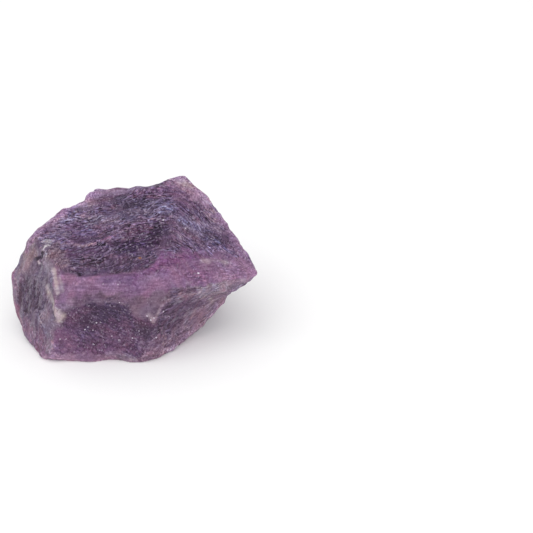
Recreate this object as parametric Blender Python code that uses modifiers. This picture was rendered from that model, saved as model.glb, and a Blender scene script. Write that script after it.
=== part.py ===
"""Raw lepidolite: one broken lump of violet mica rock, lying on its flattest side.

The stone is one solid. It starts as the closed form that its main corners span, is hollowed
where flakes have broken away, and gets the lumps, ledges and steps of a mica rock.

Frame: metres, +X along the stone, +Y away from its broken front, +Z up. The origin is under
the middle of the stone's box, on the surface that the stone lies on.
"""

import math

import bmesh
import bpy
from mathutils import Matrix, Vector, noise

MM = 0.001

# Driving dimensions, in millimetres
LENGTH = 45.5
DEPTH = 29.0
HEIGHT = 23.6
BELOW_BASE = 1.4

# The surface: the spacing of its grid while it is shaped, and the faces that it keeps
GRID = 0.45
TRIANGLES = 9000

# The corners of the broken form, in millimetres
TOP_CORNERS = {
    "front left": (-11.5, -8.5, 16.1),
    "front middle": (-5.2, -8.6, 16.3),
    "front right": (1.0, -8.5, 16.5),
    "front step": (5.0, -5.5, 17.9),
    "ridge": (-14.4, -7.5, 15.3),
    "shoulder": (-17.7, -0.5, 19.0),
    "left rim": (-14.6, 3.5, 19.9),
    "left rear rim": (-11.2, 6.5, 20.8),
    "rear lobe": (-8.6, 9.5, 21.6),
    "rear rim": (-4.0, 10.5, 21.5),
    "rear middle": (1.8, 11.0, 22.1),
    "peak": (8.9, 12.2, 23.7),
    "right rear rim": (13.4, 7.7, 21.8),
    "right rim": (17.0, 2.1, 19.7),
    "right front rim": (20.4, -3.6, 17.4),
    "tip": (23.1, -8.4, 15.6),
}
LEDGE_CORNERS = {
    "left end": (-12.4, -12.8, 10.2),
    "left": (-7.0, -13.3, 12.3),
    "middle": (-1.0, -13.3, 12.5),
    "tongue": (4.3, -14.4, 9.2),
    "right": (9.2, -10.8, 11.9),
    "far right": (15.2, -9.2, 12.6),
    "under tip": (21.0, -7.6, 14.6),
}
FRONT_CORNERS = {
    "ridge low": (-13.4, -13.6, 5.6),
    "ridge foot": (-14.8, -14.4, 0.9),
    "foot left": (-11.0, -14.9, 0.3),
    "foot middle": (-7.0, -15.0, 0.2),
    "foot right": (2.0, -15.0, 0.2),
    "foot corner": (4.9, -13.7, 0.2),
    "right foot": (8.9, -10.0, 0.8),
    "right low": (13.0, -6.8, 3.0),
    "right middle": (15.9, -5.2, 5.9),
    "right high": (18.4, -5.6, 10.3),
}
LEFT_CORNERS = {
    "upper": (-19.3, -0.5, 17.0),
    "below notch": (-20.3, -1.0, 14.5),
    "outermost": (-23.0, -1.6, 10.2),
    "side": (-22.9, -2.5, 7.9),
    "low": (-21.3, -5.5, 3.7),
    "foot": (-20.9, -6.9, 0.8),
    "front foot": (-16.8, -13.1, 0.2),
}
BACK_CORNERS = {
    "right bulge": (10.0, 14.3, 12.5),
    "middle bulge": (-3.0, 14.5, 10.5),
    "left bulge": (-13.5, 9.8, 9.5),
    "left rear side": (-20.3, 3.5, 8.0),
    "right flank": (20.4, -2.5, 13.8),
    "right side": (18.4, 2.0, 10.5),
    "right low side": (16.0, 5.5, 4.0),
    "rear low": (3.0, 13.6, 2.5),
    "right rear low": (11.5, 11.5, 2.0),
    "left low side": (-18.5, 3.5, 2.5),
}
BASE_CORNERS = {
    "front left": (-15.4, -12.6, -BELOW_BASE),
    "front": (-7.0, -13.4, -BELOW_BASE),
    "front right": (2.4, -13.3, -BELOW_BASE),
    "right": (9.5, -5.5, -BELOW_BASE),
    "right rear": (11.0, 6.5, -BELOW_BASE),
    "rear": (-1.0, 10.5, -BELOW_BASE),
    "left rear": (-13.5, 4.0, -BELOW_BASE),
    "left": (-17.5, -4.5, -BELOW_BASE),
}
CORNER_GROUPS = (
    TOP_CORNERS,
    LEDGE_CORNERS,
    FRONT_CORNERS,
    LEFT_CORNERS,
    BACK_CORNERS,
    BASE_CORNERS,
)

# Hollows that flakes left: centre and half sizes in millimetres, turns about X, Y and Z in
# degrees, and unevenness as a share of the size
HOLLOWS = {
    "front right": ((15.3, -16.6, 4.9), (14.4, 9.0, 10.4), (0, 0, 29), 0.05),
    "under tip": ((22.6, -7.0, 7.6), (5.6, 7.0, 7.0), (0, 33, 0), 0.05),
    "rear left": ((-17.6, 19.6, 17.0), (20.0, 14.5, 16.0), (0, 0, 36), 0.08),
    "rear": ((3.0, 26.0, -1.0), (22.0, 14.0, 14.0), (8, 0, -8), 0.08),
    "right rear": ((27.6, 14.0, 2.0), (15.0, 20.0, 25.0), (0, 10, 35), 0.1),
    "left rear": ((-27.5, 10.0, 0.0), (11.0, 13.0, 11.0), (0, 0, -40), 0.08),
}

# Lumps and dents in millimetres: the place, the reach along X, Y and Z, and the height, less
# than 0 for a dent
LUMPS = {
    "front hollow": ((-5.2, -14.0, 6.8), (10.6, 7.0, 6.4), -1.7),
    "notch": ((-16.1, -5.0, 17.4), (1.8, 1.8, 1.8), -0.8),
    "right of tongue": ((7.0, -11.8, 10.0), (2.6, 2.6, 2.2), -0.5),
    "rear lobe": ((-7.6, 10.0, 21.8), (2.4, 2.4, 2.4), 0.6),
    "rear dent": ((1.6, 11.0, 22.2), (7.5, 6.0, 6.0), -1.1),
    "peak": ((9.2, 12.0, 23.6), (2.6, 3.5, 3.5), 0.3),
    "left foot": ((-15.6, -13.2, 1.0), (4.0, 4.0, 2.4), 0.55),
    "left foot rear": ((-19.4, -9.0, 1.4), (3.0, 3.0, 2.4), 0.3),
    "above side": ((-21.6, -1.4, 12.6), (2.6, 4.0, 2.4), -0.5),
    "top swell": ((-3.0, -3.5, 18.4), (6.5, 4.0, 4.0), 0.45),
    "top dip": ((5.5, 1.0, 19.6), (5.5, 3.5, 4.0), -0.5),
    "top rear swell": ((3.5, 7.5, 21.8), (5.0, 3.0, 4.0), 0.4),
    "behind ledge": ((-5.0, -7.4, 16.8), (8.0, 1.6, 2.4), -0.35),
    "ledge swell": ((-3.0, -10.6, 14.8), (7.0, 2.6, 2.6), 0.35),
    "foot gap": ((-3.8, -14.6, 0.6), (4.0, 3.0, 2.0), -0.8),
    "left side": ((-22.0, -4.2, 6.0), (3.5, 3.5, 3.5), 0.3),
}

# The mica lies in sheets: the direction across them, and the sizes in mm of the relief they give
ACROSS_SHEETS = Vector((0.10, -0.95, 0.30)).normalized()
SHEET_SPACING = 1.7
SHEET_REACH = 6.5
SHEET_RELIEF = 0.22
STEP_SPACING = 3.1
STEP_HEIGHT = 0.36
SWELL_SIZE = 6.5
SWELL_HEIGHT = 0.36
NOISE_PLACE = Vector((3.7, 11.2, 5.9))

# Violet, as linear red, green and blue
VIOLET = (0.150, 0.090, 0.165, 1.0)


def collection_named(name):
    """A new collection in the scene."""
    made = bpy.data.collections.new(name)
    bpy.context.scene.collection.children.link(made)
    return made


def object_from(bm, name, collection):
    """An object that holds the bmesh, in the collection given."""
    mesh = bpy.data.meshes.new(name)
    bm.to_mesh(mesh)
    bm.free()
    made = bpy.data.objects.new(name, mesh)
    collection.objects.link(made)
    return made


def broken_form(name, collection):
    """The closed form with flat faces that the corners span."""
    bm = bmesh.new()
    for group in CORNER_GROUPS:
        for corner in group.values():
            bm.verts.new(Vector(corner) * MM)
    hull = bmesh.ops.convex_hull(bm, input=bm.verts)
    loose = [v for v in hull["geom_interior"] if isinstance(v, bmesh.types.BMVert)]
    bmesh.ops.delete(bm, geom=loose, context="VERTS")
    bmesh.ops.recalc_face_normals(bm, faces=bm.faces)
    return object_from(bm, name, collection)


def hollow_cutter(name, centre, half_sizes, turn, unevenness, collection):
    """A stretched, slightly uneven ball that takes one shallow bowl out of the stone."""
    bm = bmesh.new()
    bmesh.ops.create_icosphere(bm, subdivisions=5, radius=1.0)
    for vert in bm.verts:
        swell = noise.fractal(vert.co * 2.0 + Vector(centre), 1.0, 2.0, 2)
        vert.co *= 1.0 + unevenness * swell
    made = object_from(bm, name, collection)
    spin = Matrix.Identity(4)
    for axis, degrees in zip("XYZ", turn):
        spin = Matrix.Rotation(math.radians(degrees), 4, axis) @ spin
    stretch = Matrix.Diagonal((*[size * MM for size in half_sizes], 1.0))
    made.data.transform(Matrix.Translation(Vector(centre) * MM) @ spin @ stretch)
    made.hide_render = True
    made.display_type = "WIRE"
    return made


def apply_modifiers(stone):
    """Replaces the stone's mesh by the one that its modifiers give."""
    graph = bpy.context.evaluated_depsgraph_get()
    mesh = bpy.data.meshes.new_from_object(stone.evaluated_get(graph))
    stone.modifiers.clear()
    stone.data = mesh


def take_hollows(stone, cutters):
    """Cuts the bowls out of the stone."""
    for name, hollow in HOLLOWS.items():
        cut = stone.modifiers.new(name, "BOOLEAN")
        cut.operation = "DIFFERENCE"
        cut.solver = "EXACT"
        cut.object = hollow_cutter(name, *hollow, cutters)
    apply_modifiers(stone)


def even_grid(stone):
    """Gives the stone an even grid of faces, with its edges a little worn."""
    remesh = stone.modifiers.new("even grid", "REMESH")
    remesh.mode = "VOXEL"
    remesh.voxel_size = GRID * MM
    smooth = stone.modifiers.new("worn edges", "SMOOTH")
    smooth.factor = 0.5
    smooth.iterations = 3
    apply_modifiers(stone)


def nearest_normal(bm, place):
    """The direction that the surface faces, at the point of it that is nearest to a place."""
    nearest = min(bm.verts, key=lambda vert: (vert.co - place).length_squared)
    return nearest.normal.copy()


def raise_lumps(bm):
    """Pushes the lumps out and the dents in."""
    for place, reach, height in LUMPS.values():
        centre = Vector(place) * MM
        facing = nearest_normal(bm, centre)
        for vert in bm.verts:
            offset = vert.co - centre
            share = Vector([offset[axis] / (reach[axis] * MM) for axis in range(3)])
            if share.length < 1.0:
                vert.co += facing * (height * MM * (1.0 - share.length_squared) ** 2)
        bm.normal_update()


def sheet_relief(place):
    """The height of the broken mica sheets at a place, both in millimetres."""
    depth = place.dot(ACROSS_SHEETS)
    along = (place - ACROSS_SHEETS * depth) / SHEET_REACH
    across = ACROSS_SHEETS * (depth / SHEET_SPACING)
    ribs = noise.fractal(along + across + NOISE_PLACE, 1.0, 2.0, 3)
    level = depth / STEP_SPACING + 0.6 * noise.noise(place / SHEET_REACH + NOISE_PLACE)
    share = level - math.floor(level)
    step = share * share * (3.0 - 2.0 * share) - share
    return SHEET_RELIEF * ribs + STEP_HEIGHT * step


def roughen(bm):
    """Gives the surface its low swells and the relief of the mica sheets."""
    moves = []
    for vert in bm.verts:
        place = vert.co / MM
        swell = noise.fractal(place / SWELL_SIZE + NOISE_PLACE, 1.0, 2.0, 3)
        height = SWELL_HEIGHT * swell + sheet_relief(place)
        moves.append(vert.normal * (height * MM))
    for vert, move in zip(bm.verts, moves):
        vert.co += move


def weather(stone):
    """Shapes the surface of the stone: its lumps and dents, then its relief."""
    bm = bmesh.new()
    bm.from_mesh(stone.data)
    bm.normal_update()
    raise_lumps(bm)
    roughen(bm)
    bm.to_mesh(stone.data)
    bm.free()


def thin_out(stone):
    """Lowers the number of faces, and keeps most of them where the surface bends."""
    triangles = sum(len(face.vertices) - 2 for face in stone.data.polygons)
    decimate = stone.modifiers.new("fewer faces", "DECIMATE")
    decimate.ratio = TRIANGLES / triangles
    apply_modifiers(stone)


def flatten_base(stone):
    """Cuts the stone off flat at the height of the surface that it lies on."""
    bm = bmesh.new()
    bm.from_mesh(stone.data)
    cut = bmesh.ops.bisect_plane(
        bm,
        geom=bm.verts[:] + bm.edges[:] + bm.faces[:],
        dist=0.00001 * MM,
        plane_co=(0, 0, 0),
        plane_no=(0, 0, 1),
        clear_inner=True,
    )
    rim = [e for e in cut["geom_cut"] if isinstance(e, bmesh.types.BMEdge)]
    bmesh.ops.holes_fill(bm, edges=rim, sides=0)
    bmesh.ops.triangulate(bm, faces=bm.faces)
    bmesh.ops.remove_doubles(bm, verts=bm.verts, dist=0.02 * MM)
    bmesh.ops.recalc_face_normals(bm, faces=bm.faces)
    bm.to_mesh(stone.data)
    bm.free()


def fit_to_size(stone):
    """Makes the stone's box exactly its driving dimensions, with the origin under its middle."""
    places = [vert.co for vert in stone.data.vertices]
    low = Vector([min(place[axis] for place in places) for axis in range(3)])
    high = Vector([max(place[axis] for place in places) for axis in range(3)])
    middle = (low + high) / 2
    size = Vector((LENGTH, DEPTH, HEIGHT)) * MM
    scales = [size[axis] / (high[axis] - low[axis]) for axis in range(3)]
    stretch = Matrix.Diagonal((*scales, 1.0))
    stone.data.transform(stretch @ Matrix.Translation((-middle.x, -middle.y, 0.0)))


def stone_material():
    """Lepidolite: violet, pearly to waxy on fresh breaks."""
    material = bpy.data.materials.new("lepidolite")
    material.use_nodes = True
    shader = material.node_tree.nodes["Principled BSDF"]
    shader.inputs["Base Color"].default_value = VIOLET
    shader.inputs["Roughness"].default_value = 0.55
    shader.inputs["Metallic"].default_value = 0.0
    material.diffuse_color = VIOLET
    return material


def main():
    """Builds the stone."""
    for old in list(bpy.data.objects):
        bpy.data.objects.remove(old, do_unlink=True)
    parts = collection_named("raw_lepidolite")
    cutters = collection_named("cutters")
    stone = broken_form("lepidolite", parts)
    take_hollows(stone, cutters)
    even_grid(stone)
    weather(stone)
    thin_out(stone)
    flatten_base(stone)
    fit_to_size(stone)
    stone.data.materials.clear()
    stone.data.materials.append(stone_material())


if __name__ == "__main__":
    main()
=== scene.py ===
"""Raw lepidolite: a rough, broken lump of violet mica rock on a pale floor.

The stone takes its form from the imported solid. Here it gets its fine relief, its colours and the
loose mica grains on its broken faces. Sizes in the tables are in millimetres, and places that
are two numbers are pixels of the 533 x 533 picture that the stone was modelled from: each is
carried onto the stone along its line of sight.
"""

import math
import random

import bmesh
import bpy
import numpy as np
from bpy.props import FloatProperty, FloatVectorProperty, IntProperty, PointerProperty
from mathutils import Matrix, Vector, noise
from mathutils.bvhtree import BVHTree


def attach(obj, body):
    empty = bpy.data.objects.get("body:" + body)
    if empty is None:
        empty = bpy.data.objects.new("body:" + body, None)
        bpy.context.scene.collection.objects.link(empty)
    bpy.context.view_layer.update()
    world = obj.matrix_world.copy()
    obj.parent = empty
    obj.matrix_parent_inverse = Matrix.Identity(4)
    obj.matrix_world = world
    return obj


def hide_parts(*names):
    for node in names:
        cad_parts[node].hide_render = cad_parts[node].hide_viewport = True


bl_info = {
    "name": "Raw Lepidolite",
    "version": (1, 0, 0),
    "blender": (4, 5, 0),
    "location": "3D View > Sidebar > Lepidolite",
    "description": "A rough, broken lump of violet lepidolite on a pale floor",
    "category": "Add Mesh",
}

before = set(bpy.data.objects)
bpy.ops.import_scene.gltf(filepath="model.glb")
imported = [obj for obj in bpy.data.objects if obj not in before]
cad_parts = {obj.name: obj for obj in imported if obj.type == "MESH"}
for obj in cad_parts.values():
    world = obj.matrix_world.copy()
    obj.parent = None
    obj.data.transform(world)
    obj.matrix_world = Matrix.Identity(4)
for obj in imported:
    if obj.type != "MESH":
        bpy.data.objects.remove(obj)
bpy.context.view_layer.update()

MM = 0.001

# The camera: where it looks, how far it stands, how steeply it looks down, and how wide a pixel
# is at a distance of 1
PICTURE_SIDE = 533
LOOKS_AT = Vector((24.5, 0.0, 11.2)) * MM
DISTANCE = 274.2 * MM
STEEPNESS = math.radians(35.0)
LENS = 100.0
SENSOR = 36.0
SIGHT = Vector((0.0, math.cos(STEEPNESS), -math.sin(STEEPNESS)))
SIDEWAYS = Vector((1.0, 0.0, 0.0))
UPWARDS = Vector((0.0, math.sin(STEEPNESS), math.cos(STEEPNESS)))
EYE = LOOKS_AT - SIGHT * DISTANCE
PIXEL = SENSOR / LENS / PICTURE_SIDE

# The colours below are those of the lit stone. Its own colours are these less the sheen of the
# white surroundings, over the brightness of the studio light in red, green and blue.
SHEEN = 0.013
STUDIO_LIGHT = (1.245, 1.31, 1.265)

# At the top the mica lies in folded sheets: the direction across them, their slope at the left,
# and how the fold changes it along the stone: by how much, where and how softly
ACROSS_SHEETS = Vector((0.0, -0.95, 0.30)).normalized()
LEFT_SLOPE = 0.1
FOLD_SLOPES = ((0.35, -2.0, 1.5), (-1.25, 6.8, 1.6))

# Below the ledge the sheets spread like a fan from the tip: how far they open for each radian,
# how far the fan reaches, and the width of its border with the sheets of the front
FAN_TIP = Vector((22.8, 0.0, 9.5)) * MM
FAN_OPENING = 16.0
FAN_REACH = 17.8
FAN_BORDER = 4.0

# Shifts a noise, so that two noises of the same size differ
NOISE_PLACE = Vector((3.7, 11.2, 5.9))

# Relief along lines on the stone: height (a groove's is below 0), reach and line
RELIEF = {
    "dark groove behind the ledge": (-0.30, 0.9, [
        (60, 270), (66, 272), (80, 273.5), (98, 272.5), (121, 270.5), (135, 270), (146, 266),
        (152, 261), (158, 253)]),
    "lip of the ledge": (0.22, 1.1, [
        (60, 277), (80, 280), (104, 279), (124, 277), (140, 275.5), (152, 269), (162, 260)]),
    "step across the top": (0.2, 1.0, [
        (58, 243), (72, 243.5), (86, 244.5), (95, 242.5), (110, 238.5), (124, 231), (134, 225),
        (150, 221), (164, 218)]),
    "below the step": (-0.15, 1.4, [
        (60, 249), (76, 250), (94, 249), (110, 245), (126, 239), (140, 234)]),
    "dark valley on the top": (-0.35, 2.0, [(138, 239), (150, 234), (160, 229)]),
    "hump right of the valley": (0.30, 2.4, [(172, 238), (178, 224), (176, 210)]),
    "crack in the left end": (-0.5, 0.5, [(35, 259.5), (38.5, 258.3), (42, 256.8), (43.3, 253)]),
    "above the crack": (0.15, 1.2, [(28, 254), (36, 251)]),
    "shoulder of the left end": (0.25, 1.0, [(28, 242), (32, 239)]),
    "lower corner of the left end": (0.3, 1.1, [(24, 328), (25, 334)]),
    "notch in the left foot": (-0.3, 0.9, [(37, 346.5), (39, 350.5)]),
    "dark hollow at the rear left": (-0.28, 0.9, [(90, 220.5), (98, 220)]),
    "crevice beside the left lobe": (-0.35, 0.8, [(67, 216), (73, 213.5), (79, 210)]),
    "left lobe": (0.3, 1.5, [(61, 214), (70, 209)]),
    "rear left lobe": (0.5, 1.3, [(90, 199), (93, 196), (99, 195)]),
    "left ridge": (0.22, 1.0, [
        (46, 250), (45, 262), (50, 271), (54, 282), (55, 294), (58, 306), (60, 316)]),
    "left of the ridge": (-0.22, 1.2, [(42, 266), (46, 278), (49, 292), (52, 304)]),
    "cream lump": (0.3, 1.1, [(56, 307), (58, 314), (61, 317)]),
    "front corner below the cream lump": (0.2, 1.2, [(58, 323), (56, 336), (55, 350)]),
    "brow of the ledge": (0.2, 1.2, [
        (70, 304), (82, 299), (98, 297), (116, 297), (130, 302), (140, 309)]),
    "tongue": (0.18, 1.3, [(146, 306), (150, 314), (153, 320)]),
    "tongue's right edge": (0.22, 0.7, [
        (154, 321), (158, 315), (161, 308), (166, 302), (180, 297), (200, 291.5)]),
    "right of the tongue": (-0.35, 1.3, [(161, 322), (165, 314), (170, 307), (182, 302)]),
    "front foot swell": (0.2, 1.6, [(80, 352), (96, 352), (150, 353)]),
    "tip": (0.35, 1.2, [(250, 270), (255, 272.5)]),
    "under the tip": (-0.4, 1.4, [(231, 287), (238, 284)]),
    "middle of the rear edge": (0.45, 1.8, [(137, 190.5), (148, 190), (158, 188.5)]),
    "left of the rear lobe": (0.45, 1.2, [(81, 205.5), (86, 203)]),
    "bulge of the right edge": (0.4, 1.3, [(217, 217), (223, 225)]),
    "right edge, low": (0.35, 1.2, [(238, 247), (244, 255)]),
    "bulge of the left end": (0.35, 1.5, [(15, 279), (16, 290)]),
}

# How a face was broken: how strongly the mica's threads, its grains and its pale wisps show, how
# waxy it is, and which sheets it shows: the folded ones (0) or the fanned ones (1). A point's
# values are its red, green and blue and then these.
THREADS, GRAINS, WISPS, WAXY, FANNED = range(3, 8)
FINISHES = {
    "across the sheets": (1.0, 0.7, 0.0, 0.0, 0.0),
    "finely across": (0.75, 0.6, 0.0, 0.0, 0.0),
    "crumbly": (0.9, 1.0, 0.0, 0.0, 0.0),
    "along the sheets": (0.1, 0.35, 0.0, 1.0, 0.0),
    "brow": (0.1, 0.35, 0.1, 0.9, 1.0),
    "half along": (0.45, 0.5, 0.0, 0.6, 1.0),
    "granular": (0.35, 0.7, 0.0, 0.3, 1.0),
    "worn": (0.25, 0.4, 0.0, 0.5, 1.0),
    "end": (0.5, 0.45, 0.9, 0.3, 0.0),
    "side": (0.6, 0.5, 0.7, 0.3, 1.0),
    "rim": (0.4, 0.8, 0.0, 0.4, 0.0),
    "hidden, dark": (0.95, 0.75, 0.3, 0.0, 1.0),
    "hidden, pale": (0.25, 0.45, 0.6, 0.9, 1.0),
}

# Colour zones of the stone: colour, soft border in pixels, finish and outline. Where two overlap
# the later one shows.
ZONES = {
    "left end": ("#78687d", 4, "end", [
        (8, 275), (26, 244), (38, 236), (46, 248), (45, 262), (51, 274), (55, 290), (54, 303),
        (58, 320), (55, 337), (54, 362), (40, 362), (20, 337), (8, 300)]),
    "dark heart of the left end": ("#584658", 6, "end", [
        (17, 286), (26, 276), (34, 280), (40, 292), (45, 306), (38, 315), (24, 311), (17, 300)]),
    "dark rib of the left end": ("#6e5f73", 5, "end", [
        (36, 264), (42, 261), (50, 276), (54, 288), (46, 290), (38, 280)]),
    "pale foot of the left end": ("#837286", 6, "end", [
        (34, 312), (46, 307), (56, 318), (55, 334), (46, 335), (37, 324)]),
    "lilac edge of the left end": ("#8f667c", 3, "end", [
        (4, 272), (14, 268), (17, 285), (16, 300), (22, 320), (14, 320), (4, 300)]),
    "tan of the upper left": ("#897680", 4, "end", [
        (20, 266), (27, 242), (36, 238), (42, 250), (36, 257), (28, 266)]),
    "left end, low": ("#86667f", 7, "end", [
        (14, 320), (26, 318), (40, 330), (54, 342), (52, 364), (34, 358)]),
    "top": ("#6f5875", 8, "across the sheets", [
        (36, 240), (60, 205), (88, 188), (112, 186), (180, 174), (214, 206), (252, 258),
        (200, 256), (158, 254), (146, 268), (60, 273), (46, 262)]),
    "pale bundle at the rear left": ("#877290", 6, "across the sheets", [
        (44, 228), (58, 214), (72, 206), (84, 202), (94, 208), (84, 216), (66, 222), (50, 236)]),
    "pale bundle behind the left": ("#81718d", 6, "across the sheets", [
        (84, 218), (96, 214), (112, 214), (124, 212), (126, 220), (116, 227), (100, 226),
        (88, 228)]),
    "blue bundle at the rear": ("#685c78", 6, "across the sheets", [
        (118, 210), (136, 206), (152, 200), (164, 204), (156, 212), (140, 218), (122, 220)]),
    "lilac patch at the rear": ("#72617f", 5, "across the sheets", [
        (152, 208), (162, 203), (174, 204), (178, 212), (170, 219), (162, 214), (154, 216)]),
    "dark of the rear": ("#4d4059", 6, "across the sheets", [
        (112, 200), (124, 196), (144, 197), (150, 203), (140, 209), (120, 209)]),
    "purple stripe at the rear": ("#674c6c", 5, "across the sheets", [
        (124, 190), (150, 188), (172, 190), (174, 198), (150, 199), (130, 198)]),
    "rear right": ("#7d5c7c", 7, "across the sheets", [
        (160, 182), (184, 180), (204, 200), (208, 208), (190, 200), (172, 196)]),
    "dark of the rear right": ("#6c5474", 6, "across the sheets", [
        (178, 200), (190, 200), (206, 210), (210, 220), (196, 222), (182, 216)]),
    "blue bundle on the right": ("#7d6d8a", 5, "across the sheets", [
        (174, 216), (184, 215), (200, 222), (222, 222), (228, 230), (212, 230), (204, 236),
        (192, 230), (178, 224)]),
    "dark band on the right": ("#5d4b67", 5, "across the sheets", [
        (198, 228), (214, 230), (236, 238), (242, 248), (226, 246), (206, 240)]),
    "lilac band on the right": ("#826b91", 6, "across the sheets", [
        (206, 246), (226, 246), (244, 250), (250, 258), (230, 257), (212, 254)]),
    "purple of the left": ("#684e6d", 6, "finely across", [
        (62, 226), (76, 222), (92, 228), (104, 232), (96, 242), (70, 244), (60, 238)]),
    "mauve behind the step": ("#6e536e", 6, "across the sheets", [
        (96, 228), (112, 222), (132, 222), (128, 232), (112, 238), (100, 240)]),
    "dark beside the valley": ("#61455e", 5, "crumbly", [
        (124, 234), (134, 227), (150, 223), (158, 226), (150, 240), (130, 242)]),
    "valley": ("#39243e", 6, "crumbly", [
        (142, 238), (150, 229), (158, 221), (164, 222), (162, 234), (157, 244), (146, 245)]),
    "deep blue before the valley": ("#422e4d", 8, "crumbly", [
        (104, 244), (124, 240), (146, 240), (152, 250), (140, 256), (118, 254)]),
    "brown purple before the step": ("#5c4160", 6, "finely across", [
        (60, 250), (84, 248), (104, 247), (104, 256), (84, 258), (66, 258)]),
    "front of the top": ("#58435b", 8, "finely across", [
        (72, 257), (100, 254), (130, 257), (152, 254), (148, 264), (134, 271), (100, 273),
        (72, 272)]),
    "tan shoulder": ("#7d6675", 8, "rim", [
        (46, 244), (58, 242), (66, 252), (72, 262), (66, 271), (50, 270)]),
    "rosy rear edge": ("#987b98", 4, "rim", [
        (24, 250), (44, 222), (60, 207), (84, 197), (88, 190), (110, 186), (108, 194), (96, 201),
        (82, 206), (64, 216), (50, 226), (34, 240), (28, 254)]),
    "brow": ("#6c566a", 9, "brow", [
        (60, 294), (120, 288), (150, 290), (142, 317), (133, 311), (123, 305.5), (109, 304),
        (90, 305.5), (78, 309), (69, 313), (62, 315)]),
    "tongue": ("#776176", 5, "brow", [
        (128, 292), (150, 288), (170, 286), (190, 290), (167, 301), (160.5, 309), (157, 318),
        (153, 323), (142, 317), (132, 309)]),
    "ledge": ("#866686", 7, "along the sheets", [
        (56, 266), (66, 273), (84, 276), (100, 273.5), (121, 274), (137, 271), (147, 267),
        (158, 255), (180, 250), (205, 252), (226, 257), (252, 258), (262, 274), (250, 281),
        (238, 284), (222, 285), (200, 287), (181, 289), (165, 292), (150, 295), (138, 296),
        (124, 294), (106, 293), (88, 295), (72, 300), (60, 306), (56, 300), (56, 285),
        (53, 275)]),
    "lilac of the ledge": ("#73587b", 6, "along the sheets", [
        (92, 274), (110, 273), (132, 275), (140, 280), (124, 285), (104, 282)]),
    "rose of the ledge's left": ("#8e6d8c", 6, "along the sheets", [
        (60, 278), (76, 279), (96, 284), (92, 293), (74, 296), (62, 300)]),
    "pink of the ledge": ("#987899", 7, "along the sheets", [
        (98, 284), (108, 281), (120, 283), (122, 290), (110, 294), (98, 291)]),
    "bright end of the ledge": ("#906d8e", 7, "along the sheets", [
        (138, 286), (150, 276), (164, 272), (180, 272), (184, 280), (162, 288), (142, 292)]),
    "magenta of the ledge": ("#785079", 10, "half along", [
        (134, 276), (146, 269), (158, 259), (170, 254), (200, 250), (208, 256), (190, 263),
        (172, 265), (160, 272), (146, 280), (136, 283)]),
    "magenta before the tip": ("#896183", 6, "half along", [
        (180, 272), (196, 268), (210, 274), (206, 284), (190, 284)]),
    "front": ("#674c68", 5, "granular", [
        (64, 314), (72, 310), (90, 304.5), (109, 304), (123, 306), (133, 313), (148, 322),
        (158, 320), (163, 330), (150, 365), (56, 365), (56, 336), (60, 322)]),
    # Painted shade: the front hollow is painted darkest just under the ledge
    "heart of the front hollow": ("#524059", 8, "granular", [
        (80, 318), (90, 304), (112, 301), (132, 308), (130, 318), (108, 318), (100, 328),
        (84, 328)]),
    # Painted shade under the tongue
    "dark below the tongue": ("#554359", 7, "granular", [
        (134, 324), (150, 326), (162, 322), (164, 332), (150, 342), (134, 340)]),
    "front's lower left": ("#7e5d7c", 7, "worn", [
        (56, 326), (70, 328), (76, 340), (74, 352), (54, 352)]),
    "front's lower edge": ("#6e4f6c", 7, "granular", [
        (74, 338), (100, 344), (132, 344), (132, 353), (74, 353)]),
    "foot": ("#997b94", 4, "worn", [
        (40, 354), (60, 353), (92, 355), (118, 354), (122, 370), (40, 370)]),
    "foot's right": ("#8d7b8d", 4, "worn", [
        (116, 355), (130, 356), (142, 358), (160, 348), (160, 370), (116, 370)]),
    "beside the tongue": ("#664f68", 5, "side", [
        (158, 322), (162, 306), (170, 300), (186, 297), (202, 299), (196, 312), (180, 326),
        (164, 334)]),
    "striped side": ("#6d556a", 4, "side", [
        (160, 303), (168, 292), (186, 288), (206, 285), (206, 296), (186, 300), (170, 303)]),
    "grooved side": ("#958393", 5, "side", [
        (196, 288), (214, 283), (236, 279), (252, 278), (242, 288), (228, 294), (208, 296),
        (198, 295)]),
    "right, middle": ("#8b7084", 6, "side", [
        (180, 326), (196, 308), (212, 297), (234, 288), (220, 312), (204, 334), (180, 338)]),
    "right, low": ("#84697f", 7, "granular", [
        (140, 344), (160, 336), (180, 330), (206, 326), (184, 348), (152, 366), (140, 362)]),
    "rim of the right": ("#a0839a", 4, "rim", [
        (158, 352), (176, 342), (192, 329), (206, 322), (216, 304), (228, 300), (214, 326),
        (196, 342), (176, 356), (160, 362)]),
    "rose corner": ("#9e819d", 7, "rim", [
        (170, 180), (186, 170), (214, 196), (216, 207), (205, 209), (192, 199), (178, 190)]),
    "rose of the right edge": ("#866b8b", 4, "rim", [
        (209, 200), (216, 202), (232, 226), (262, 270), (252, 272), (238, 252), (224, 228)]),
    "tip": ("#92708f", 5, "half along", [
        (214, 262), (236, 258), (252, 262), (262, 276), (236, 284), (216, 280)]),
}
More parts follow.
